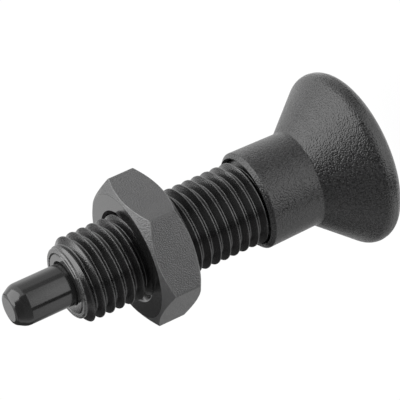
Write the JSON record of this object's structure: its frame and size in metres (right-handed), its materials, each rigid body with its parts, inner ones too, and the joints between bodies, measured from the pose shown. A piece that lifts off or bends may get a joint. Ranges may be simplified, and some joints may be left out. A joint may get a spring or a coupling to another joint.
{
  "type": "indexing plunger",
  "caption": "Spring-loaded indexing plunger: fully threaded guide body with locknut, round pin with a conical nose, and a mushroom grip that pulls the pin back.",
  "frame": {"origin": "centre of the grip's flat rear face, on which the plunger stands", "axes": "+Z along the plunger's axis, from the grip toward the tip of the pin; +X toward a corner of the locknut"},
  "size_m": [0.025, 0.025, 0.0547],
  "materials": {
    "blackened_steel": "black oxide over cut thread",
    "ground_steel": "ground bright end face",
    "pin_steel": "ground, black oxide, glossy",
    "spring_steel": "drawn wire",
    "grip_plastic": "fine grain, matte",
    "nut_steel": "black oxide, satin"
  },
  "bodies": {
    "guide": {"guide_body": "blackened_steel", "guide_bush": "ground_steel"},
    "turning_spring": {"spring": "spring_steel"},
    "plunger": {"index_pin": "pin_steel", "grip": "grip_plastic"},
    "nut": {"locknut": "nut_steel"}
  },
  "joints": [
    {"name": "plunger_turn", "type": "hinge", "parent": "guide", "child": "turning_spring", "pos_m": [0, 0, 0.0381], "axis": [0, 0, 1], "continuous": true},
    {"name": "pin_pull", "type": "slide", "parent": "turning_spring", "child": "plunger", "axis": [0, 0, -1], "range_m": [0, 0.0086], "stiffness_N_per_m": 1317, "springref_m": -0.0046, "deforming": ["spring"]},
    {"name": "locknut_travel", "type": "slide", "parent": "guide", "child": "nut", "axis": [0, 0, 1], "range_m": [-0.012, 0.009]}
  ]
}
